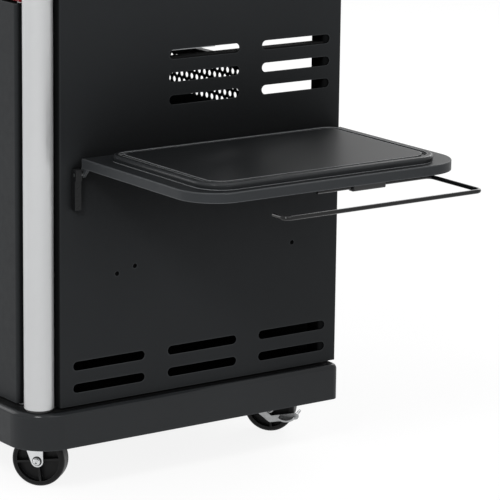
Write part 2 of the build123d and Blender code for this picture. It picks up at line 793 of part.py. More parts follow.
tray_top = runner_ledge_z + runner_thickness + running_gap + tray_wall
tray_half = runner_x - runner_ledge - running_gap
tray_mid = firebox_mid
with BuildPart() as drip_tray:
    with Locations((0, tray_mid, tray_top)):
        Box(2 * tray_half, tray_length, tray_height, align=(Align.CENTER, Align.CENTER, Align.MAX))
    offset(amount=-tray_wall, openings=drip_tray.faces().sort_by(Axis.Z)[-1])
    with BuildSketch(Plane.XY.offset(tray_top)):
        with Locations((0, tray_mid)):
            Rectangle(2 * (tray_half + tray_lip), tray_length)
            Rectangle(2 * (tray_half - tray_wall), tray_length - 2 * tray_wall, mode=Mode.SUBTRACT)
    extrude(amount=-tray_wall)
    with Locations((0, tray_mid + tray_length / 2, tray_top - tray_height / 2)):
        Box(tray_half, tray_pull_height, 2 * tray_wall, align=(Align.CENTER, Align.MIN, Align.CENTER))
finish(drip_tray, "drip_tray")

pan_bottom = tray_top - tray_height + tray_wall
with BuildPart() as drip_pan:
    with Locations((0, tray_mid, pan_bottom)):
        Box(2 * (tray_half - tray_wall - pan_play), tray_length - 2 * (tray_wall + pan_play), pan_height,
            align=(Align.CENTER, Align.CENTER, Align.MIN))
    offset(amount=-pan_wall, openings=drip_pan.faces().sort_by(Axis.Z)[-1])
finish(drip_pan, "drip_pan")

# Doors, folded pans that turn on pins in the base and under the front rail
with BuildPart() as door_right:
    with Locations((door_gap / 2, door_front, panel_bottom)):
        Box(door_outer - door_gap / 2, door_thickness, door_height,
            align=(Align.MIN, Align.MIN, Align.MIN))
    fillet(door_right.edges().filter_by(Axis.Z).group_by(Axis.Y)[0], door_edge_radius)
    offset(amount=-sheet, openings=door_right.faces().sort_by(Axis.Y)[-1])
    with Locations((door_pivot_x, door_pivot_y, panel_bottom)):
        Cylinder(hinge_pin_radius + pin_play, 4 * door_height, mode=Mode.SUBTRACT)
finish(door_right, "door_right")

with BuildPart() as door_left:
    add(mirror(door_right.part, about=Plane.YZ, mode=Mode.PRIVATE))
finish(door_left, "door_left")

with BuildPart() as door_hinge_pins:
    for side in (1, -1):
        with Locations((side * door_pivot_x, door_pivot_y, base_top)):
            Cylinder(hinge_collar_radius, panel_gap - running_gap,
                     align=(Align.CENTER, Align.CENTER, Align.MIN))
            Cylinder(hinge_pin_radius, panel_gap + hinge_pin_grip,
                     align=(Align.CENTER, Align.CENTER, Align.MIN))
        with Locations((side * door_pivot_x, door_pivot_y, rail_bottom)):
            Cylinder(hinge_collar_radius, rail_bottom - door_top - running_gap,
                     align=(Align.CENTER, Align.CENTER, Align.MAX))
            Cylinder(hinge_pin_radius, rail_bottom - door_top + hinge_pin_grip,
                     align=(Align.CENTER, Align.CENTER, Align.MAX))
finish(door_hinge_pins, "door_hinge_pins")

handle_x = door_gap / 2 + handle_edge_distance
handle_top = door_top - handle_drop
with BuildPart() as door_handle_right:
    handle_path = [
        (handle_x, door_front, handle_top),
        (handle_x, door_front - handle_standoff, handle_top),
        (handle_x, door_front - handle_standoff, handle_top - handle_length),
        (handle_x, door_front, handle_top - handle_length),
    ]
    with BuildLine() as handle_line:
        FilletPolyline(*handle_path, radius=handle_diameter)
    with BuildSketch(Plane.XZ.offset(-door_front)):
        with Locations((handle_x, handle_top)):
            Circle(handle_diameter / 2)
    sweep(path=handle_line.line)
finish(door_handle_right, "door_handle_right")

with BuildPart() as door_handle_left:
    add(mirror(door_handle_right.part, about=Plane.YZ, mode=Mode.PRIVATE))
finish(door_handle_left, "door_handle_left")

# Lid: a bent steel shell between two cast ends, hinged at the rear of the rim
lid_bottom = rim_top + running_gap
lid_front_top = (lid_y0 + lid_front_rake, lid_bottom + lid_front_height)
lid_crown = (lid_front_top[0] + lid_crown_setback, lid_bottom + lid_crown_height)
lid_back_top = (lid_y1, lid_bottom + lid_back_height)
lid_rake = Vector(0, lid_front_rake, lid_front_height).normalized()
lid_face = Plane(origin=(0, lid_y0, lid_bottom), x_dir=(1, 0, 0), z_dir=Vector(1, 0, 0).cross(lid_rake))


def lid_section(x, grow):
    """Closed side profile of the lid at a distance along X, grown outwards by another."""
    with BuildSketch(Plane.YZ.offset(x)) as section:
        with BuildLine():
            front = Line((lid_y0, lid_bottom), lid_front_top)
            nose = TangentArc(lid_front_top, lid_crown, tangent=front % 1)
            TangentArc(lid_crown, lid_back_top, tangent=nose % 1)
            Polyline(lid_back_top, (lid_y1, lid_bottom), (lid_y0, lid_bottom))
        make_face()
        back_corner = section.vertices().group_by(Axis.X)[-1].sort_by(Axis.Y)[-1]
        fillet(back_corner, lid_back_radius)
        if grow:
            offset(amount=grow, kind=Kind.INTERSECTION)
    return section.sketch


shell_half = lid_width / 2 - lid_end_wall
with BuildPart() as lid_shell:
    extrude(lid_section(0, 0), amount=shell_half, both=True)
    shell_openings = lid_shell.faces().filter_by(Axis.X) + lid_shell.faces().sort_by(Axis.Z)[:1]
    offset(amount=-lid_wall, openings=shell_openings)
    with Locations(lid_face.offset(-lid_wall) * Pos(0, gauge_height)):
        Cylinder(gauge_probe_radius + pin_play, 4 * lid_wall, mode=Mode.SUBTRACT)
finish(lid_shell, "lid_shell")

# Cast lid ends that lap over the shell and carry the hinge lugs
with BuildPart() as lid_ends:
    for side in (1, -1):
        end_depth = lid_end_wall + lid_end_rim
        extrude(lid_section(side * lid_width / 2, lid_end_proud), amount=-side * end_depth)
        extrude(lid_section(side * shell_half, plug_play), amount=-side * lid_end_rim, mode=Mode.SUBTRACT)
        lug_plane = Plane.YZ.offset(side * (ear_x + running_gap))
        with BuildSketch(lug_plane):
            with Locations((lid_pivot_y, lid_pivot_z)):
                Circle(lid_lug_radius)
            with Locations((lid_y1 + lid_end_proud, lid_pivot_z)):
                Rectangle(lid_lug_thickness, 2 * lid_lug_radius, align=(Align.MIN, Align.CENTER))
            make_hull()
        extrude(amount=side * lid_lug_thickness)
        with Locations((side * ear_x, lid_pivot_y, lid_pivot_z)):
            Cylinder(hinge_pin_radius + pin_play, 4 * lid_lug_thickness, rotation=(0, 90, 0),
                     mode=Mode.SUBTRACT)
    split(bisect_by=Plane.XY.offset(lid_bottom), keep=Keep.TOP)
finish(lid_ends, "lid_ends")

with BuildPart() as lid_hinge_pins:
    for side in (1, -1):
        with Locations((side * (ear_x + running_gap / 2), lid_pivot_y, lid_pivot_z)):
            Cylinder(hinge_pin_radius, 2 * lid_lug_thickness + running_gap, rotation=(0, 90, 0))
finish(lid_hinge_pins, "lid_hinge_pins")

# Lid handle, a round bar on two posts square to the raked front
bar_axis = lid_face.offset(lid_bar_standoff)
bar_post_x = lid_bar_length / 2 - lid_bar_post_inset
with BuildPart() as lid_handle:
    with Locations(bar_axis * Pos(0, lid_bar_height)):
        Cylinder(lid_bar_diameter / 2, lid_bar_length, rotation=(0, 90, 0))
    fillet(lid_handle.faces().filter_by(Axis.X).edges(), lid_bar_diameter / 6)
finish(lid_handle, "lid_handle")

with BuildPart() as lid_handle_posts:
    for side in (1, -1):
        with Locations(lid_face * Pos(side * bar_post_x, lid_bar_height)):
            Cylinder(lid_bar_post_radius, lid_bar_standoff, align=(Align.CENTER, Align.CENTER, Align.MIN))
    with Locations(bar_axis * Pos(0, lid_bar_height)):
        Cylinder(lid_bar_diameter / 2, lid_bar_length, rotation=(0, 90, 0), mode=Mode.SUBTRACT)
finish(lid_handle_posts, "lid_handle_posts")

# Lid thermometer: case with probe, dial recess, needle on a post and a glass
gauge_plane = lid_face * Pos(0, gauge_height)
gauge_glass_radius = gauge_radius - gauge_rim
needle_back = gauge_depth - gauge_dial_recess + needle_lift
with BuildPart() as thermometer_case:
    with Locations(gauge_plane):
        Cylinder(gauge_radius, gauge_depth, align=(Align.CENTER, Align.CENTER, Align.MIN))
    fillet(thermometer_case.edges().sort_by(Axis.Y)[0], gauge_edge_radius)
    with Locations(gauge_plane * Pos(0, 0, gauge_depth)):
        Cylinder(gauge_glass_radius, gauge_dial_recess, align=(Align.CENTER, Align.CENTER, Align.MAX),
                 mode=Mode.SUBTRACT)
    with Locations(gauge_plane * Pos(0, 0, needle_back + needle_thickness)):
        Cylinder(needle_post_radius, needle_thickness + needle_lift,
                 align=(Align.CENTER, Align.CENTER, Align.MAX))
    with Locations(gauge_plane):
        Cylinder(gauge_probe_radius, gauge_probe_length, align=(Align.CENTER, Align.CENTER, Align.MAX))
finish(thermometer_case, "thermometer_case")

with BuildPart() as thermometer_needle:
    with BuildSketch(gauge_plane * Pos(0, 0, needle_back)):
        Circle(needle_width)
        Rectangle(needle_width, needle_length, rotation=needle_cold_angle, align=(Align.CENTER, Align.MIN))
        Circle(needle_post_radius + pin_play, mode=Mode.SUBTRACT)
    extrude(amount=needle_thickness)
finish(thermometer_needle, "thermometer_needle")

with BuildPart() as thermometer_glass:
    with Locations(gauge_plane * Pos(0, 0, gauge_depth - gauge_lens_recess)):
        Cylinder(gauge_glass_radius - pin_play, gauge_lens_thickness,
                 align=(Align.CENTER, Align.CENTER, Align.MAX))
finish(thermometer_glass, "thermometer_glass")

# Side shelf: a folded tray with a deep rim and two hinge ears
ear_front = shelf_y0 + shelf_wall
ear_fronts = [ear_front + bracket_spacing * i for i in range(2)]
shelf_under = shelf_height - shelf_wall
with BuildPart() as shelf_tray:
    with BuildSketch(Plane.XY.offset(shelf_height)) as shelf_outline:
        with Locations((shelf_x0, shelf_y0)):
            Rectangle(shelf_reach, shelf_width, align=(Align.MIN, Align.MIN))
        fillet(shelf_outline.vertices().group_by(Axis.X)[-1], shelf_corner_radius)
    extrude(amount=-shelf_rim)
    fillet(shelf_tray.faces().sort_by(Axis.Z)[-1].edges(), shelf_edge_radius)
    offset(amount=-shelf_wall, openings=shelf_tray.faces().sort_by(Axis.Z)[0])
    for ear_y in ear_fronts:
        with BuildSketch(Plane.XZ.offset(-ear_y)):
            with Locations((shelf_pivot_x, shelf_pivot_z)):
                Circle(ear_radius)
            with Locations((shelf_x0 + shelf_wall, shelf_under)):
                Rectangle(ear_foot, shelf_wall, align=(Align.MIN, Align.MAX))
            make_hull()
            with Locations((shelf_pivot_x, shelf_pivot_z)):
                Circle(shelf_pin_radius + pin_play, mode=Mode.SUBTRACT)
        extrude(amount=-ear_thickness)
finish(shelf_tray, "shelf_tray")

# Shelf brackets on the panel: a pin block over a flat leg, with their hinge pins
bracket_back = shelf_y0 - bracket_side_gap
bracket_backs = [bracket_back + bracket_spacing * i for i in range(2)]
block_top = shelf_pivot_z + bracket_block_rise
with BuildPart() as shelf_brackets:
    for back in bracket_backs:
        with Locations((panel_x, back, block_top)):
            Box(bracket_reach, bracket_width, bracket_block_height, align=(Align.MIN, Align.MAX, Align.MAX))
            Box(bracket_leg_reach, bracket_width, bracket_leg_length,
                align=(Align.MIN, Align.MAX, Align.MAX))
        with Locations((shelf_pivot_x, back, shelf_pivot_z)):
            Cylinder(shelf_pin_radius, 4 * bracket_width, rotation=(90, 0, 0), mode=Mode.SUBTRACT)
finish(shelf_brackets, "shelf_brackets")

pin_span = bracket_width + bracket_side_gap + shelf_wall + ear_thickness
with BuildPart() as shelf_hinge_pins:
    for back in bracket_backs:
        with Locations((shelf_pivot_x, back - bracket_width + pin_span / 2, shelf_pivot_z)):
            Cylinder(shelf_pin_radius, pin_span, rotation=(90, 0, 0))
finish(shelf_hinge_pins, "shelf_hinge_pins")

# Cutting board with rounded edges and a juice groove
board_x1 = shelf_x1 - board_margin
board_y0 = shelf_y0 + board_front_margin
board_bottom = shelf_height + running_gap
board_top = board_bottom + board_thickness


def board_outline(inset):
    """Outline of the board, or of a ring in it, with tighter corners beside the panel."""
    with BuildSketch(mode=Mode.PRIVATE) as outline:
        with Locations((board_x1 - board_width / 2, board_y0 + board_length / 2)):
            Rectangle(board_width - 2 * inset, board_length - 2 * inset)
        fillet(outline.vertices().group_by(Axis.X)[0], board_inner_radius - inset)
        fillet(outline.vertices().group_by(Axis.X)[-1], board_corner_radius - inset)
    return outline.sketch


with BuildPart() as cutting_board:
    with BuildSketch(Plane.XY.offset(board_bottom)):
        add(board_outline(0))
    extrude(amount=board_thickness)
    fillet(cutting_board.faces().sort_by(Axis.Z)[-1].edges(), board_edge_radius)
    with BuildSketch(Plane.XY.offset(board_top)):
        add(board_outline(groove_inset))
        add(board_outline(groove_inset + groove_width), mode=Mode.SUBTRACT)
    extrude(amount=-groove_depth, mode=Mode.SUBTRACT)
finish(cutting_board, "cutting_board")

# Towel rail, one bent wire under the shelf, and the clip that holds it
rail_z = shelf_height - rail_drop
rail_inner_x = shelf_x1 - rail_inner_inset
rail_outer_x = shelf_x1 + rail_outer_reach
rail_rear_y = shelf_y1 - rail_rear_margin
rail_tip_y = rail_rear_y - rail_inner_length
rail_front_y = rail_rear_y - rail_outer_length
with BuildPart() as towel_rail:
    with BuildLine() as rail_line:
        FilletPolyline(
            (rail_inner_x, rail_tip_y, rail_z),
            (rail_inner_x, rail_rear_y, rail_z),
            (rail_outer_x, rail_rear_y, rail_z),
            (rail_outer_x, rail_front_y, rail_z),
            (rail_outer_x - rail_stub, rail_front_y, rail_z),
            radius=rail_bend_radius,
        )
    with BuildSketch(Plane.XZ.offset(-rail_tip_y)):
        with Locations((rail_inner_x, rail_z)):
            Circle(rail_wire_radius)
    sweep(path=rail_line.line)
finish(towel_rail, "towel_rail")

clip_bottom = rail_z - rail_wire_radius - clip_wall
with BuildPart() as rail_clip:
    with Locations((rail_inner_x, rail_tip_y + clip_start, clip_bottom)):
        Box(clip_width, clip_length, shelf_under - clip_bottom, align=(Align.CENTER, Align.MIN, Align.MIN))
    with Locations((rail_inner_x, rail_tip_y + clip_start, rail_z)):
        Cylinder(rail_wire_radius + pin_play, 4 * clip_length, rotation=(90, 0, 0), mode=Mode.SUBTRACT)
    fillet(rail_clip.faces().sort_by(Axis.Z)[0].edges().filter_by(Axis.Y), clip_wall)
finish(rail_clip, "rail_clip")

# Castors: fixed plates with kingpins, swivelling forks, ribbed wheels, rear brake levers
head_top = crown_bottom - running_gap
with BuildPart() as caster_plates:
    with Locations(*[(x, y, caster_height) for x, y in caster_spots]):
        Box(caster_plate_side, caster_plate_side, caster_plate_thickness,
            align=(Align.CENTER, Align.CENTER, Align.MAX))
    with Locations(*[(x, y, plate_bottom) for x, y in caster_spots]):
        Cylinder(caster_race_radius, caster_race_height, align=(Align.CENTER, Align.CENTER, Align.MAX))
        Cylinder(kingpin_radius, plate_bottom - head_top, align=(Align.CENTER, Align.CENTER, Align.MAX))
    with Locations(*[(x, y, head_top) for x, y in caster_spots]):
        Cylinder(kingpin_head_radius, kingpin_head_height, align=(Align.CENTER, Align.CENTER, Align.MAX))
finish(caster_plates, "caster_plates")

fork_inside = wheel_hub_length / 2 + running_gap
fork_outside = fork_inside + fork_plate
axle = Vector(caster_trail, wheel_radius)
lever_pivot = axle + Vector(-lever_pivot_back, lever_pivot_rise)
lever_heel = axle + Vector(-lever_heel_back, -lever_heel_drop)
lever_knee = axle + Vector(lever_knee_lead, -lever_knee_drop)
lever_inside = fork_outside + lever_gap
brake_bar_reach = wheel_radius + brake_bar_radius
brake_bar = axle + Vector(sqrt((brake_bar_reach + brake_rest_gap) ** 2 - brake_bar_drop**2), -brake_bar_drop)


def caster_plane(spot, heading):
    """Upright plane through the swivel axis: X along the trail, Y up, normal along the axle."""
    turn = radians(heading)
    return Plane(origin=(spot[0], spot[1], 0), x_dir=(cos(turn), sin(turn), 0),
                 z_dir=(sin(turn), -cos(turn), 0))


def caster_fork(side, braked):
    """Pressed fork: crown with race, two cheek plates, and the axle bolt between them."""
    swivel = Plane(origin=side.origin, x_dir=side.x_dir, z_dir=(0, 0, 1))
    with BuildPart() as fork:
        with BuildSketch(side.offset(fork_inside), side.offset(-fork_outside)):
            with Locations(axle):
                Circle(fork_end_radius)
            with Locations((-cheek_back, crown_top)):
                Rectangle(cheek_back + cheek_lead, fork_crown, align=(Align.MIN, Align.MAX))
            make_hull()
            with Locations(axle):
                Circle(axle_radius + pin_play, mode=Mode.SUBTRACT)
        extrude(amount=fork_plate)
        if braked:
            with Locations(side * Pos(*lever_pivot)):
                Cylinder(lever_pin_radius + pin_play, 2 * fork_outside,
                         align=(Align.CENTER, Align.CENTER, Align.MIN), mode=Mode.SUBTRACT)
        with Locations(swivel * Pos(0, 0, crown_top)):
            Box(fork_crown_length, 2 * fork_outside, fork_crown,
                align=(Align.CENTER, Align.CENTER, Align.MAX))
            Cylinder(caster_race_radius, fork_race_height, align=(Align.CENTER, Align.CENTER, Align.MIN))
            Cylinder(kingpin_radius + pin_play, 4 * caster_race_height, mode=Mode.SUBTRACT)
        with Locations(side * Pos(*axle)):
            Cylinder(axle_radius, 2 * (fork_outside + axle_head_height))
        for end in (1, -1):
            head_middle = end * (fork_outside + pin_play + axle_head_height / 2)
            with Locations(side.offset(head_middle) * Pos(*axle)):
                Cylinder(axle_head_radius, axle_head_height)
    return fork


def caster_wheel(side):
    """Moulded wheel with a rounded tread, hub, bore and radial ribs in its dished faces."""
    with BuildPart() as wheel:
        with BuildSketch(side):
            with Locations(axle):
                Circle(wheel_radius)
        extrude(amount=wheel_width / 2, both=True)
        fillet(wheel.edges().filter_by(GeomType.CIRCLE), wheel_edge_radius)
        for face, inward in ((wheel_width / 2, -1), (-wheel_width / 2, 1)):
            with BuildSketch(side.offset(face)):
                with Locations(axle):
                    Circle(wheel_rim_inner)
                    Circle(wheel_hub_radius, mode=Mode.SUBTRACT)
                    with PolarLocations(0, wheel_ribs, start_angle=wheel_rib_angle):
                        Rectangle(wheel_rim_inner, wheel_rib_thickness, align=(Align.MIN, Align.CENTER),
                                  mode=Mode.SUBTRACT)
            extrude(amount=inward * wheel_recess, mode=Mode.SUBTRACT)
        with Locations(side * Pos(*axle)):
            Cylinder(wheel_hub_radius, wheel_hub_length)
            Cylinder(axle_radius + pin_play, 2 * wheel_hub_length, mode=Mode.SUBTRACT)
    return wheel


def brake_lever(side):
    """Side brake: a bent plate on a pin in the cheek, a dished pedal and a bar that presses on the tread."""
    corners = [lever_pivot, lever_heel, lever_knee, brake_bar]
    radii = [lever_boss_radius, lever_arm_radius, lever_arm_radius, lever_arm_radius]
    with BuildPart() as lever:
        for i in range(len(corners) - 1):
            with BuildSketch(side.offset(lever_inside)):
                with Locations(corners[i]):
                    Circle(radii[i])
                with Locations(corners[i + 1]):
                    Circle(radii[i + 1])
                make_hull()
            extrude(amount=lever_thickness)
        with Locations(side.offset(fork_inside) * Pos(*lever_pivot)):
            Cylinder(lever_pin_radius, lever_inside - fork_inside,
                     align=(Align.CENTER, Align.CENTER, Align.MIN))
        with Locations(side.offset(lever_inside) * Pos(*brake_bar)):
            Cylinder(brake_bar_radius, brake_bar_length, align=(Align.CENTER, Align.CENTER, Align.MAX))
        with BuildSketch(side.offset(lever_inside)):
            with BuildLine():
                ThreePointArc(brake_bar - Vector(pedal_length, 0),
                              brake_bar - Vector(pedal_length / 2, pedal_dish), brake_bar)
            trace(line_width=lever_thickness)
        extrude(amount=lever_thickness + pedal_reach)
    return lever


casters = {
    "front_right": ((front_caster_x, front_caster_y), front_right_heading, False),
    "front_left": ((-front_caster_x, front_caster_y), front_left_heading, False),
    "rear_right": ((rear_caster_x, rear_caster_y), rear_right_heading, True),
    "rear_left": ((-rear_caster_x, rear_caster_y), rear_left_heading, True),
}
for corner, (spot, heading, braked) in casters.items():
    side = caster_plane(spot, heading)
    finish(caster_fork(side, braked), f"caster_fork_{corner}")
    finish(caster_wheel(side), f"caster_wheel_{corner}")
    if braked:
        finish(brake_lever(side), f"brake_lever_{corner}")
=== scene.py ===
# Looks of the gas barbecue grill: a finish for every node, the small fittings that the solids leave out,
# soft studio light and the photograph's camera. Metres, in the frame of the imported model.
import json
import math

import bmesh
import bpy
from mathutils import Matrix, Vector


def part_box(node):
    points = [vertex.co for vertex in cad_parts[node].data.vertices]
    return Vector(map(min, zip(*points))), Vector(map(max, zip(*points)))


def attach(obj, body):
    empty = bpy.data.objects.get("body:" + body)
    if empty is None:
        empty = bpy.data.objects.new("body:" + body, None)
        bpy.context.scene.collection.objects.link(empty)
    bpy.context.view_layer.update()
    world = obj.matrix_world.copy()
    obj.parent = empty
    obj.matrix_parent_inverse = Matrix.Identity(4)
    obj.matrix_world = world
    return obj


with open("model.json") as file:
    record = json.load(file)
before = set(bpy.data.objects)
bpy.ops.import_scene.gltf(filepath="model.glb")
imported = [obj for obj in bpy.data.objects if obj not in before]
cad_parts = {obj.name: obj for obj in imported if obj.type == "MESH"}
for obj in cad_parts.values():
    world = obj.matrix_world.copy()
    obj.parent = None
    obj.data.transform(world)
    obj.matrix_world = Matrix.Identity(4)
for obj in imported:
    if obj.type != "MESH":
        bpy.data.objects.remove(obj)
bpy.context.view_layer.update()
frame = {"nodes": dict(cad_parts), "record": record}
nodes = frame["nodes"]

# Camera: where the photograph was taken from, solved from the side panel, shelf and castors
CAMERA_PLACE = Vector((3.793286, -2.330961, 1.312551))
CAMERA_AZIMUTH = math.radians(54.582)
CAMERA_ELEVATION = math.radians(13.225)
CAMERA_ROLL = math.radians(0.716)
CAMERA_LENS = 214.16
CAMERA_SENSOR = 36.0

# Studio: the sky in steps of (height, level), the lamps as name, place, target, size and power
FLOOR_RADIUS = 30.0
FLOOR_STEPS = 64
FLOOR_COLOUR = (0.85, 0.85, 0.85, 1.0)
FLOOR_GLOW = 1.1
FLOOR_SHARE = 0.8
SKY = ((0.0, 0.3), (0.2, 0.55), (0.45, 0.75), (0.75, 0.35), (1.0, 0.2))
LAMPS = (("key", (2.6, -3.2, 3.4), (0.1, 0.0, 0.4), 1.0, 92.0),
         ("right", (2.2, 0.0, 2.2), (0.36, 0.0, 0.4), 1.5, 11.0),
         ("fill", (-3.2, -2.4, 2.2), (0.0, 0.0, 0.5), 2.5, 46.0),
         ("back", (-1.6, 3.4, 2.6), (0.0, 0.0, 0.5), 2.2, 50.0))

# Directions and mesh making
UP, DOWN, FRONT, REAR = (0, 0, 1), (0, 0, -1), (0, -1, 0), (0, 1, 0)
LATHE_STEPS = 36
SHARP_ANGLE = math.radians(35.0)

# Print: a bar's cut corners are a share of its width, the spark's outline is in shares of half its height
PRINT_THICKNESS = 0.00015
BAR_CUT = 0.3
POINTER_LENGTH = 0.012
POINTER_WIDTH = 0.0022
POINTER_FOOT = 0.003
MARK_RADIUS = 0.0292
MARK_WIDTH = 0.0034
MARK_START = math.pi
MARK_TURN = math.pi / 2
MARK_TAPER = 0.8
MARK_STEPS = 16
SPARK_HEIGHT = 0.010
SPARK_OUTLINE = ((0.25, 1.0), (-0.5, -0.1), (-0.05, -0.1), (-0.25, -1.0), (0.5, 0.15), (0.05, 0.15))

# Thermometer dial
DIAL_BELOW_NEEDLE = 0.0013
DIAL_RADIUS = 0.0269
DIAL_THICKNESS = 0.0003
DIAL_START = 210.0
DIAL_SWEEP = 240.0
DIAL_STEPS = 6
DIAL_PARTS = 5
DIAL_FIRST = 50
DIAL_RISE = 50
TICK_OUTER = 0.0258
TICK_LENGTH = 0.0042
TICK_WIDTH = 0.0009
SMALL_TICK = 0.5
NUMBER_RADIUS = 0.0182
NUMBER_SIZE = 0.0052

# Castor fittings; a turned profile is (radius, height) points, where a third number makes a polygon
CASTORS = ("front_right", "front_left", "rear_right", "rear_left")
AXLE_HALF = 0.0214
CAP_PROFILE = ((0, 0.0002), (0.0012, 0.0002), (0.0022, 0.0009), (0.0030, 0.0014), (0.0042, 0.0012),
               (0.0050, 0.0004), (0.0050, -0.0006), (0, -0.0006))
FORK_HALF = 0.0178
WASHER_PROFILE = ((0, 0), (0.0071, 0), (0.0072, 0.0001), (0.0071, 0.0002), (0, 0.0002))
BOLT_INSET = 0.0195
BOLT_PROFILE = ((0, 0), (0.0045, 0), (0.0045, 0.0008), (0.0038, 0.0008, 6), (0.0038, 0.0034, 6),
                (0.0030, 0.0040), (0, 0.0040))
PLATE_THICKNESS = 0.003

# Screws of the rear panel, at shares of its height up each side and of its width along the foot
SCREW_MARGIN = 0.012
LEFT_SCREWS = (0.06, 0.35, 0.65, 0.94)
RIGHT_SCREWS = (0.06, 0.3, 0.54)
FOOT_SCREWS = (0.35, 0.65)
SCREW_PROFILE = ((0, 0.0006), (0.0016, 0.0006, 6), (0.0016, 0.0021, 6), (0.0026, 0.0021),
                 (0.0036, 0.0015), (0.0040, 0.0004), (0.0040, 0), (0, 0))

# Noise in a colour, a gloss and a relief
NOISE_LOW = 0.3
NOISE_HIGH = 0.7
SHADE_DETAIL = 3.0
GLOSS_DETAIL = 4.0
GRAIN_DETAIL = 2.0
GLOSS_FINER = 12.0
ANY_WAY = (1.0, 1.0, 1.0)
ALONG_X = (0.02, 1.0, 1.0)

# Edges painted lighter as a painted highlight, and slopes, which go from 0 on an upright face to 1 on a
# level one
EDGE_SAMPLES = 4
EDGE_TURN = 0.9
BROW_SLOPES = (0.1, 0.3)
TOP_SLOPES = (0.9, 0.995)

# Painted shade in gaps, corners and under things, a span being the reach and the shares of open sky where
# the darkening starts and is full
SKIN_DEPTH = 0.0003
SKIN_FADE = 0.0012
PAINTED_SHADE_SAMPLES = 8
PAINTED_SHADE_SPAN = (0.05, 0.8, 0.3)
# The side panels' wider span paints a shadow of the shelf on them, darker above and below it
PANEL_PAINTED_SHADE_SPAN = (0.2, 0.97, 0.45)
PAINTED_SHADE_ROUGHNESS = 0.9

# Finishes: one for each slot of the record, and some for single nodes and the dial
PAINT = (0.0185, 0.0202, 0.0218)
# Lighter edge colour of the paint, a painted highlight
PAINT_EDGE_HIGHLIGHT = (0.06, 0.064, 0.068)
DEEP_BLACK = (0.003, 0.0033, 0.0036)
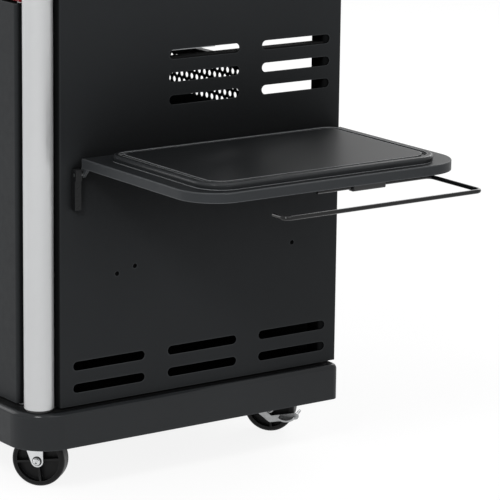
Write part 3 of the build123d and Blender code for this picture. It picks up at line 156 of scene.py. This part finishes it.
# Colour of the painted shade in gaps, corners, under things and inside the side panels
PAINTED_GAP_SHADE = (0.002, 0.0022, 0.0024)
GLASS_TINT = (0.97, 0.98, 0.98, 1.0)
GLASS_PATCH = 60.0
GLASS_ROUGHNESS = (0.01, 0.04)
LOOKS = {
    # Anthracite paint: lighter edges are a painted highlight, darker gaps and corners a painted shade
    "anthracite_paint": dict(colour=PAINT, roughness=0.42, specular=0.1, change=0.04, edge_highlight=PAINT_EDGE_HIGHLIGHT,
                             painted_shade=PAINTED_GAP_SHADE),
    # Side panels: as above, with their inside painted dark as painted shade and a wide painted shadow of
    # the shelf above and below it
    "panel_paint": dict(colour=PAINT, roughness=0.42, specular=0.1, change=0.04, edge_highlight=PAINT_EDGE_HIGHLIGHT,
                        painted_shade=PAINTED_GAP_SHADE, painted_shade_span=PANEL_PAINTED_SHADE_SPAN,
                        inside=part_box("side_panel_right")[1].x - SKIN_DEPTH),
    # The shelf's anthracite paint made lighter, a painted highlight; its top is painted darker, a painted
    # shade, and its edges lighter, a painted highlight
    "shelf_lit_paint": dict(colour=(0.032, 0.0346, 0.0372), roughness=0.45, specular=0.12, change=0.04,
                        grain=700.0, depth=0.00006, edge_highlight=(0.12, 0.125, 0.13), top=(0.013, 0.0142, 0.0154)),
    # Base: top faces painted near black as painted shade, lighter edges a painted highlight, darker gaps a
    # painted shade
    "base_moulding": dict(colour=(0.019, 0.0207, 0.0224), roughness=0.38, specular=0.18, change=0.04,
                          edge_highlight=PAINT_EDGE_HIGHLIGHT, top=DEEP_BLACK, top_gloss=0.15, brow_gloss=0.15,
                          painted_shade=PAINTED_GAP_SHADE),
    "silver_paint": dict(colour=(0.56, 0.567, 0.572), roughness=0.38, metallic=0.4, change=0.02,
                         grain=2600.0, depth=0.00001),
    # Black steel: lighter edges are a painted highlight, darker gaps a painted shade
    "black_steel": dict(colour=(0.006, 0.0066, 0.0072), roughness=0.3, specular=0.2,
                        edge_highlight=(0.03, 0.0325, 0.035), edge_width=0.0006, painted_shade=PAINTED_GAP_SHADE),
    "post_black": dict(colour=DEEP_BLACK, roughness=0.5, specular=0.03),
    "rail_black": dict(colour=DEEP_BLACK, roughness=0.09, specular=0.3, mottle=0.02),
    "red_enamel": dict(colour=(0.22, 0.004, 0.007), roughness=0.3, specular=0.2, coat=0.3,
                       coat_roughness=0.05, grain=140.0, depth=0.000006),
    "black_cast": dict(colour=(0.012, 0.012, 0.0125), roughness=0.5, grain=700.0, depth=0.0001),
    "cast_iron": dict(colour=(0.018, 0.018, 0.018), roughness=0.5, grain=600.0, depth=0.00015),
    "stainless": dict(colour=(0.55, 0.55, 0.54), roughness=0.28, metallic=1.0, change=0.03,
                      stretch=ALONG_X, grain=1500.0, depth=0.00001),
    "firebox_enamel": dict(colour=(0.014, 0.014, 0.014), roughness=0.45),
    "galvanised": dict(colour=(0.45, 0.46, 0.47), roughness=0.42, metallic=1.0, change=0.12, patch=60.0),
    "foil": dict(colour=(0.72, 0.72, 0.73), roughness=0.25, metallic=1.0, change=0.04, grain=200.0,
                 depth=0.0001),
    "brass": dict(colour=(0.62, 0.42, 0.15), roughness=0.3, metallic=1.0),
    "zinc": dict(colour=(0.66, 0.67, 0.68), roughness=0.3, metallic=1.0, change=0.05, patch=40.0),
    "worn_zinc": dict(colour=(0.36, 0.365, 0.37), roughness=0.42, metallic=1.0, change=0.2, patch=90.0),
    "knob_satin": dict(colour=(0.6, 0.6, 0.6), roughness=0.32, metallic=1.0, change=0.03, grain=2000.0),
    "black_plastic": dict(colour=(0.014, 0.014, 0.0145), roughness=0.45, grain=2200.0, depth=0.00004),
    # Wheels: lighter edges are a painted highlight
    "wheel_black": dict(colour=(0.005, 0.005, 0.0054), roughness=0.42, specular=0.18, grain=900.0,
                        depth=0.00003, edge_highlight=(0.03, 0.03, 0.031)),
    # Board: lighter edges and groove lines are a painted highlight; the level top is painted darker than
    # the lips, so the lips read as a painted highlight
    "board_black": dict(colour=(0.016, 0.0173, 0.0186), roughness=0.15, specular=0.09, change=0.04,
                        mottle=0.02, grain=900.0, depth=0.00002, edge_highlight=(0.36, 0.37, 0.38), edge_gloss=0.12,
                        top=(0.0098, 0.0106, 0.0114), top_gloss=0.4),
    "handle_black": dict(colour=(0.012, 0.012, 0.012), roughness=0.42),
    "button_red": dict(colour=(0.35, 0.01, 0.01), roughness=0.25, coat=0.5),
    "gauge_metal": dict(colour=(0.75, 0.75, 0.75), roughness=0.12, metallic=1.0, change=0.02),
    "needle_paint": dict(colour=(0.35, 0.01, 0.01), roughness=0.4),
    "dial_white": dict(colour=(0.82, 0.82, 0.8), roughness=0.5),
    "dial_ink": dict(colour=(0.02, 0.02, 0.02), roughness=0.5),
}
OWN_FINISH = {"side_panel_right": "panel_paint", "side_panel_left": "panel_paint",
              "shelf_tray": "shelf_lit_paint", "rear_posts": "post_black", "towel_rail": "rail_black",
              "caster_fork_rear_right": "worn_zinc", "caster_fork_rear_left": "worn_zinc",
              "brake_lever_rear_right": "worn_zinc", "brake_lever_rear_left": "worn_zinc"}
FINISHES = {}


def make_camera():
    """The photograph's camera, with no shift."""
    azimuth, elevation = CAMERA_AZIMUTH, CAMERA_ELEVATION
    back = Vector((math.sin(azimuth) * math.cos(elevation), -math.cos(azimuth) * math.cos(elevation),
                   math.sin(elevation)))
    level = Vector((math.cos(azimuth), math.sin(azimuth), 0.0))
    plumb = back.cross(level)
    right = math.cos(CAMERA_ROLL) * level + math.sin(CAMERA_ROLL) * plumb
    up = -math.sin(CAMERA_ROLL) * level + math.cos(CAMERA_ROLL) * plumb
    data = bpy.data.cameras.new("camera")
    data.lens = CAMERA_LENS
    data.sensor_width = CAMERA_SENSOR
    camera = bpy.data.objects.new("camera", data)
    turn = Matrix((right, up, back)).transposed().to_4x4()
    camera.matrix_world = Matrix.Translation(CAMERA_PLACE) @ turn
    bpy.context.scene.collection.objects.link(camera)
    bpy.context.scene.camera = camera


def seen_directly(tree):
    """A factor that is 1 where the camera, a mirror or a glass looks, and 0 for scattered light."""
    path = tree.nodes.new("ShaderNodeLightPath")
    total = path.outputs["Is Camera Ray"]
    for ray in ("Is Glossy Ray", "Is Transmission Ray"):
        most = tree.nodes.new("ShaderNodeMath")
        most.operation = "MAXIMUM"
        tree.links.new(total, most.inputs[0])
        tree.links.new(path.outputs[ray], most.inputs[1])
        total = most.outputs[0]
    return total


def make_world():
    """White where it is looked at; as a source of light a soft band, dimmer overhead and at the horizon."""
    world = bpy.data.worlds.new("studio")
    world.use_nodes = True
    tree = world.node_tree
    background = tree.nodes["Background"]
    background.inputs["Color"].default_value = (1.0, 1.0, 1.0, 1.0)
    direction = tree.nodes.new("ShaderNodeTexCoord")
    parts = tree.nodes.new("ShaderNodeSeparateXYZ")
    tree.links.new(direction.outputs["Generated"], parts.inputs["Vector"])
    sky = tree.nodes.new("ShaderNodeValToRGB")
    steps = sky.color_ramp.elements
    while len(steps) < len(SKY):
        steps.new(0.5)
    for step, (height, level) in zip(steps, SKY):
        step.position = height
        step.color = (level, level, level, 1.0)
    tree.links.new(parts.outputs["Z"], sky.inputs["Fac"])
    strength = tree.nodes.new("ShaderNodeMapRange")
    strength.inputs["To Max"].default_value = 1.0
    tree.links.new(sky.outputs["Color"], strength.inputs["To Min"])
    tree.links.new(seen_directly(tree), strength.inputs["Value"])
    tree.links.new(strength.outputs["Result"], background.inputs["Strength"])
    bpy.context.scene.world = world


def make_floor():
    """A white floor that keeps a soft shadow."""
    mesh = bpy.data.meshes.new("floor")
    shape = bmesh.new()
    bmesh.ops.create_circle(shape, cap_ends=True, radius=FLOOR_RADIUS, segments=FLOOR_STEPS)
    shape.to_mesh(mesh)
    shape.free()
    floor = bpy.data.objects.new("floor", mesh)
    bpy.context.scene.collection.objects.link(floor)
    material = bpy.data.materials.new("floor_white")
    material.use_nodes = True
    tree = material.node_tree
    tree.nodes.remove(tree.nodes["Principled BSDF"])
    matt = tree.nodes.new("ShaderNodeBsdfDiffuse")
    matt.inputs["Color"].default_value = FLOOR_COLOUR
    glow = tree.nodes.new("ShaderNodeEmission")
    glow.inputs["Strength"].default_value = FLOOR_GLOW
    share = tree.nodes.new("ShaderNodeMath")
    share.operation = "MULTIPLY"
    share.inputs[1].default_value = FLOOR_SHARE
    mix = tree.nodes.new("ShaderNodeMixShader")
    tree.links.new(seen_directly(tree), share.inputs[0])
    tree.links.new(share.outputs[0], mix.inputs["Fac"])
    tree.links.new(matt.outputs["BSDF"], mix.inputs[1])
    tree.links.new(glow.outputs["Emission"], mix.inputs[2])
    tree.links.new(mix.outputs["Shader"], tree.nodes["Material Output"].inputs["Surface"])
    mesh.materials.append(material)


def make_lamp(name, place, target, size, power):
    """A square soft box that points at a target."""
    data = bpy.data.lights.new(name, "AREA")
    data.size = size
    data.energy = power
    lamp = bpy.data.objects.new(name, data)
    lamp.location = place
    aim = Vector(target) - Vector(place)
    lamp.rotation_euler = aim.to_track_quat("-Z", "Y").to_euler()
    lamp.visible_camera = False
    bpy.context.scene.collection.objects.link(lamp)


def new_surface(name):
    """A material with its node tree and its main shader."""
    material = bpy.data.materials.new(name)
    material.use_nodes = True
    return material, material.node_tree, material.node_tree.nodes["Principled BSDF"]


def noise(tree, scale, detail, stretch=ANY_WAY):
    """Soft noise in the object's own metres."""
    place = tree.nodes.new("ShaderNodeTexCoord")
    mapping = tree.nodes.new("ShaderNodeMapping")
    mapping.inputs["Scale"].default_value = stretch
    texture = tree.nodes.new("ShaderNodeTexNoise")
    texture.inputs["Scale"].default_value = scale
    texture.inputs["Detail"].default_value = detail
    tree.links.new(place.outputs["Object"], mapping.inputs["Vector"])
    tree.links.new(mapping.outputs["Vector"], texture.inputs["Vector"])
    return texture.outputs["Fac"]


def between(tree, source, start, end, low=0.0, high=1.0):
    """A value that goes from low to high as a source goes from start to end."""
    span = tree.nodes.new("ShaderNodeMapRange")
    span.inputs["From Min"].default_value = start
    span.inputs["From Max"].default_value = end
    span.inputs["To Min"].default_value = low
    span.inputs["To Max"].default_value = high
    tree.links.new(source, span.inputs["Value"])
    return span.outputs["Result"]


def spread(tree, source, low, high):
    """The middle part of a noise stretched between two values."""
    return between(tree, source, NOISE_LOW, NOISE_HIGH, low, high)


def shades(tree, source, colour, change):
    """A colour that a noise makes a little darker and lighter."""
    mix = tree.nodes.new("ShaderNodeMix")
    mix.data_type = "RGBA"
    mix.inputs["A"].default_value = [c * (1.0 - change) for c in colour] + [1.0]
    mix.inputs["B"].default_value = [c * (1.0 + change) for c in colour] + [1.0]
    tree.links.new(spread(tree, source, 0.0, 1.0), mix.inputs["Factor"])
    return mix.outputs["Result"]


def part_along(tree, output, axis):
    """One axis of the object's own place or normal."""
    place = tree.nodes.new("ShaderNodeTexCoord")
    parts = tree.nodes.new("ShaderNodeSeparateXYZ")
    tree.links.new(place.outputs[output], parts.inputs["Vector"])
    return parts.outputs[axis]


def painted_highlight_mask(tree, width):
    """A factor that rises to 1 along the edges, where a lighter colour is painted on as a highlight."""
    rounded = tree.nodes.new("ShaderNodeBevel")
    rounded.samples = EDGE_SAMPLES
    rounded.inputs["Radius"].default_value = width
    place = tree.nodes.new("ShaderNodeNewGeometry")
    along = tree.nodes.new("ShaderNodeVectorMath")
    along.operation = "DOT_PRODUCT"
    tree.links.new(rounded.outputs["Normal"], along.inputs[0])
    tree.links.new(place.outputs["Normal"], along.inputs[1])
    return between(tree, along.outputs["Value"], 1.0, EDGE_TURN)


def level_mask(tree, steep, level):
    """A factor that rises from 0 on a steep slope to 1 on a level one, as the piece lies at rest."""
    return between(tree, part_along(tree, "Normal", "Z"), steep, level)


def inner_mask(tree, reach):
    """A factor that is 1 inside a cabinet whose outer skin lies a reach to each side of the middle."""
    distance = tree.nodes.new("ShaderNodeMath")
    distance.operation = "ABSOLUTE"
    tree.links.new(part_along(tree, "Object", "X"), distance.inputs[0])
    return between(tree, distance.outputs[0], reach, reach - SKIN_FADE)


def painted_shade_mask(tree, reach, clear, deep):
    """A factor that rises to 1 in gaps, inner corners and under things, where shade is painted into the
    colour.
    """
    open_sky = tree.nodes.new("ShaderNodeAmbientOcclusion")
    open_sky.samples = PAINTED_SHADE_SAMPLES
    open_sky.inputs["Distance"].default_value = reach
    return between(tree, open_sky.outputs["AO"], clear, deep)


def swap_where(tree, mask, source, other):
    """A colour or gloss that turns to another one where a mask is 1."""
    mix = tree.nodes.new("ShaderNodeMix")
    if isinstance(other, tuple):
        mix.data_type = "RGBA"
        other = (*other, 1.0)
    tree.links.new(mask, mix.inputs["Factor"])
    sockets = [socket for socket in mix.inputs if socket.enabled and socket.name in ("A", "B")]
    tree.links.new(source, sockets[0])
    sockets[1].default_value = other
    return next(socket for socket in mix.outputs if socket.enabled)


def finish(name, colour, roughness, change=0.08, patch=7.0, mottle=0.06, grain=1200.0, depth=0.00002,
           metallic=0.0, specular=0.5, coat=0.0, coat_roughness=0.1, stretch=ANY_WAY,
           edge_highlight=None, edge_gloss=0.25, edge_width=0.002, top=None, top_gloss=0.45, painted_shade=None,
           painted_shade_span=PAINTED_SHADE_SPAN, inside=None, brow_gloss=None):
    """A coated, moulded or metal surface: a colour shaded at random by noise, uneven gloss, a fine relief
    and lighter edges as a painted highlight.
    A top colour, painted darker or lighter than the sides, and a top gloss are for level faces, and a brow
    gloss is for rounded upper edges. A colour of painted shade is for gaps, corners and under things and,
    if a reach to each side of the middle is given as inside, for all within it."""
    material, tree, surface = new_surface(name)
    surface.inputs["Metallic"].default_value = metallic
    surface.inputs["Specular IOR Level"].default_value = specular
    surface.inputs["Coat Weight"].default_value = coat
    surface.inputs["Coat Roughness"].default_value = coat_roughness
    shade = shades(tree, noise(tree, patch, SHADE_DETAIL), colour, change)
    uneven = noise(tree, GLOSS_FINER * patch, GLOSS_DETAIL, stretch)
    gloss = spread(tree, uneven, roughness - mottle, roughness + mottle)
    if brow_gloss:
        gloss = swap_where(tree, level_mask(tree, *BROW_SLOPES), gloss, brow_gloss)
    # Level faces take the top colour, painted darker than the sides as painted shade
    if top:
        mask = level_mask(tree, *TOP_SLOPES)
        shade = swap_where(tree, mask, shade, top)
        gloss = swap_where(tree, mask, gloss, top_gloss)
    # Edges take a lighter colour, a painted highlight, and their own gloss
    if edge_highlight:
        mask = painted_highlight_mask(tree, edge_width)
        shade = swap_where(tree, mask, shade, edge_highlight)
        gloss = swap_where(tree, mask, gloss, edge_gloss)
    # Within the side panels' outer skin the colour is painted dark, a painted shade
    if inside:
        shade = swap_where(tree, inner_mask(tree, inside), shade, painted_shade)
    # Painted shade: the colour darkens, and the gloss turns rough, where little open sky is near
    if painted_shade:
        mask = painted_shade_mask(tree, *painted_shade_span)
        shade = swap_where(tree, mask, shade, painted_shade)
        gloss = swap_where(tree, mask, gloss, PAINTED_SHADE_ROUGHNESS)
    tree.links.new(shade, surface.inputs["Base Color"])
    tree.links.new(gloss, surface.inputs["Roughness"])
    relief = tree.nodes.new("ShaderNodeBump")
    relief.inputs["Distance"].default_value = depth
    relief.inputs["Strength"].default_value = 1.0
    tree.links.new(noise(tree, grain, GRAIN_DETAIL, stretch), relief.inputs["Height"])
    tree.links.new(relief.outputs["Normal"], surface.inputs["Normal"])
    return material


def glass(name):
    """Clear window glass."""
    material, tree, surface = new_surface(name)
    surface.inputs["Transmission Weight"].default_value = 1.0
    surface.inputs["Base Color"].default_value = GLASS_TINT
    gloss = spread(tree, noise(tree, GLASS_PATCH, GRAIN_DETAIL), *GLASS_ROUGHNESS)
    tree.links.new(gloss, surface.inputs["Roughness"])
    return material


def make_finishes():
    """Every finish under its name."""
    for name, look in LOOKS.items():
        FINISHES[name] = finish(name, **look)
    FINISHES["gauge_glass"] = glass("gauge_glass")


def dress_nodes():
    """Give every node its own finish, or else the finish of its slot."""
    for part in frame["record"]["subparts"]:
        node = nodes[part["node"]]
        node.data.materials.clear()
        node.data.materials.append(FINISHES[OWN_FINISH.get(part["node"], part["material_slot"])])


def joint(name):
    """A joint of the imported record."""
    return next(j for j in frame["record"]["behaviour"]["joints"] if j["name"] == name)


def upright(place, normal, up):
    """A frame at a place with Z along the normal and Y as near to up as it goes."""
    z_axis = Vector(normal).normalized()
    x_axis = Vector(up).cross(z_axis).normalized()
    turn = Matrix((x_axis, z_axis.cross(x_axis), z_axis)).transposed().to_4x4()
    return Matrix.Translation(Vector(place)) @ turn


def front_of(node, x, z):
    """A frame on the front of a node, with Y up."""
    return upright((x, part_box(node)[0].y, z), FRONT, UP)


def add_piece(name, shape, slot, body, look=None):
    """Turn a mesh in the making into a piece that rides on a body."""
    bmesh.ops.recalc_face_normals(shape, faces=shape.faces)
    mesh = bpy.data.meshes.new(name)
    shape.to_mesh(mesh)
    shape.free()
    mesh.materials.append(FINISHES[look or slot])
    mesh.shade_smooth()
    mesh.set_sharp_from_angle(angle=SHARP_ANGLE)
    piece = bpy.data.objects.new(name, mesh)
    bpy.context.scene.collection.objects.link(piece)
    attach(piece, body)


def lathe(shape, place, profile):
    """Turn a profile about the Z axis of a place."""
    rings = []
    for radius, height, *sides in profile:
        ring = []
        for step in range(LATHE_STEPS if radius else 1):
            angle = 2 * math.pi * step / LATHE_STEPS
            reach = radius
            if sides:
                part = math.pi / sides[0]
                reach *= math.cos(part) / math.cos(angle % (2 * part) - part)
            point = Vector((reach * math.cos(angle), reach * math.sin(angle), height))
            ring.append(shape.verts.new(place @ point))
        rings.append(ring)
    for lower, upper in zip(rings, rings[1:]):
        for step in range(LATHE_STEPS):
            after = (step + 1) % LATHE_STEPS
            corners = [lower[step % len(lower)], lower[after % len(lower)],
                       upper[after % len(upper)], upper[step % len(upper)]]
            shape.faces.new(list(dict.fromkeys(corners)))


def disc(shape, place, radius, thickness):
    """A flat round plate on a place."""
    lathe(shape, place, [(0, 0), (radius, 0), (radius, thickness), (0, thickness)])


def slab(shape, place, outline, thickness):
    """A thin plate with a flat outline in the XY plane of a place."""
    low = [shape.verts.new(place @ Vector((x, y, 0.0))) for x, y in outline]
    high = [shape.verts.new(place @ Vector((x, y, thickness))) for x, y in outline]
    shape.faces.new(low[::-1])
    shape.faces.new(high)
    for i in range(len(outline)):
        after = (i + 1) % len(outline)
        shape.faces.new((low[i], low[after], high[after], high[i]))


def bar(length, width, foot):
    """Outline of a bar along Y with cut corners, from a distance above the middle."""
    cut = BAR_CUT * width
    half = width / 2
    return [(-half, foot + cut), (-half + cut, foot), (half - cut, foot), (half, foot + cut),
            (half, foot + length - cut), (half - cut, foot + length), (-half + cut, foot + length),
            (-half, foot + length - cut)]


def crescent():
    """Outline of a bent mark about the middle that narrows along its way."""
    outer, inner = [], []
    for step in range(MARK_STEPS + 1):
        share = step / MARK_STEPS
        angle = MARK_START + MARK_TURN * share
        half = MARK_WIDTH / 2 * (1.0 - MARK_TAPER * share)
        outer.append(((MARK_RADIUS + half) * math.cos(angle), (MARK_RADIUS + half) * math.sin(angle)))
        inner.append(((MARK_RADIUS - half) * math.cos(angle), (MARK_RADIUS - half) * math.sin(angle)))
    return outer + inner[::-1]


def make_knob_marks():
    """A pointer on each knob, and on each bezel a dot for off and a crescent from high to low."""
    for place in ("left", "middle", "right"):
        x, _, z = joint(f"knob_{place}_turn")["pos_m"]
        pointer = bmesh.new()
        slab(pointer, front_of(f"knob_{place}", x, z), bar(POINTER_LENGTH, POINTER_WIDTH, POINTER_FOOT),
             PRINT_THICKNESS)
        add_piece(f"knob_pointer_{place}", pointer, "black_plastic", f"knob_{place}")
        ring = front_of("knob_bezels", x, z)
        marks = bmesh.new()
        disc(marks, ring @ Matrix.Translation((0, MARK_RADIUS, 0)), MARK_WIDTH / 2, PRINT_THICKNESS)
        slab(marks, ring, crescent(), PRINT_THICKNESS)
        add_piece(f"bezel_marks_{place}", marks, "black_plastic", "cart")


def make_igniter_mark():
    """A plain spark sign on the igniter button."""
    low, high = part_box("igniter_button")
    half = SPARK_HEIGHT / 2
    sign = bmesh.new()
    slab(sign, front_of("igniter_button", (low.x + high.x) / 2, (low.z + high.z) / 2),
         [(half * x, half * y) for x, y in SPARK_OUTLINE], PRINT_THICKNESS)
    add_piece("igniter_sign", sign, "silver_paint", "igniter")


def dial_angle(share):
    """Where a share of the dial's sweep lies."""
    return math.radians(DIAL_START - DIAL_SWEEP * share)


def written(text, place):
    """Thin figures in the middle of a place."""
    curve = bpy.data.curves.new("number", "FONT")
    curve.body = text
    curve.size = NUMBER_SIZE
    curve.align_x = "CENTER"
    curve.align_y = "CENTER"
    curve.extrude = PRINT_THICKNESS
    writing = bpy.data.objects.new("number", curve)
    mesh = bpy.data.meshes.new_from_object(writing)
    bpy.data.objects.remove(writing)
    shape = bmesh.new()
    shape.from_mesh(mesh)
    bpy.data.meshes.remove(mesh)
    bmesh.ops.transform(shape, matrix=place, verts=shape.verts)
    return shape


def make_dial():
    """Thermometer dial with ticks and plain numbers, under the needle."""
    turn = joint("needle_turn")
    normal = -Vector(turn["axis"])
    face = upright(Vector(turn["pos_m"]) - DIAL_BELOW_NEEDLE * normal, normal, UP)
    top = face @ Matrix.Translation((0, 0, DIAL_THICKNESS))
    plate = bmesh.new()
    disc(plate, face, DIAL_RADIUS, DIAL_THICKNESS)
    add_piece("dial_face", plate, "gauge_metal", "lid", "dial_white")
    ticks = bmesh.new()
    count = DIAL_STEPS * DIAL_PARTS
    for step in range(count + 1):
        turned = top @ Matrix.Rotation(dial_angle(step / count) - math.pi / 2, 4, "Z")
        size = SMALL_TICK if step % DIAL_PARTS else 1.0
        length = size * TICK_LENGTH
        slab(ticks, turned, bar(length, size * TICK_WIDTH, TICK_OUTER - length), PRINT_THICKNESS)
    add_piece("dial_ticks", ticks, "black_plastic", "lid", "dial_ink")
    for step in range(DIAL_STEPS + 1):
        angle = dial_angle(step / DIAL_STEPS)
        spot = Matrix.Translation((NUMBER_RADIUS * math.cos(angle), NUMBER_RADIUS * math.sin(angle), 0))
        text = str(DIAL_FIRST + DIAL_RISE * step)
        add_piece(f"dial_number_{text}", written(text, top @ spot), "black_plastic", "lid", "dial_ink")


def make_axle_caps():
    """Riveted ends of the castor axles, a rounded collar with a dimple, each on a dark washer."""
    for corner in CASTORS:
        roll = joint(f"roll_{corner}")
        axis = Vector(roll["axis"])
        middle = Vector(roll["pos_m"])
        caps = bmesh.new()
        washers = bmesh.new()
        for side in (1, -1):
            lathe(caps, upright(middle + side * AXLE_HALF * axis, side * axis, UP), CAP_PROFILE)
            lathe(washers, upright(middle + side * FORK_HALF * axis, side * axis, UP), WASHER_PROFILE)
        add_piece(f"axle_cap_{corner}", caps, "zinc", f"fork_{corner}")
        add_piece(f"axle_washer_{corner}", washers, "black_plastic", f"fork_{corner}")


def make_castor_bolts():
    """Hexagon bolts that hold the castor plates."""
    bolts = bmesh.new()
    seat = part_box("caster_plates")[1].z - PLATE_THICKNESS
    for corner in CASTORS:
        x, y, _ = joint(f"swivel_{corner}")["pos_m"]
        for side in (1, -1):
            for end in (1, -1):
                spot = (x + side * BOLT_INSET, y + end * BOLT_INSET, seat)
                lathe(bolts, upright(spot, DOWN, REAR), BOLT_PROFILE)
    add_piece("castor_bolts", bolts, "zinc", "cart")


def make_rear_screws():
    """Pan-head screws with a hexagon socket along the edges of the rear panel."""
    low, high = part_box("rear_panel")
    width, height = high.x - low.x, high.z - low.z
    spots = [(low.x + SCREW_MARGIN, low.z + share * height) for share in LEFT_SCREWS]
    spots += [(high.x - SCREW_MARGIN, low.z + share * height) for share in RIGHT_SCREWS]
    spots += [(low.x + share * width, low.z + SCREW_MARGIN) for share in FOOT_SCREWS]
    screws = bmesh.new()
    for x, z in spots:
        lathe(screws, upright((x, high.y, z), REAR, UP), SCREW_PROFILE)
    add_piece("rear_panel_screws", screws, "zinc", "cart")


make_camera()
make_world()
make_floor()
for lamp in LAMPS:
    make_lamp(*lamp)
make_finishes()
dress_nodes()
make_knob_marks()
make_igniter_mark()
make_dial()
make_axle_caps()
make_castor_bolts()
make_rear_screws()

bpy.context.scene.view_settings.view_transform = "Standard"
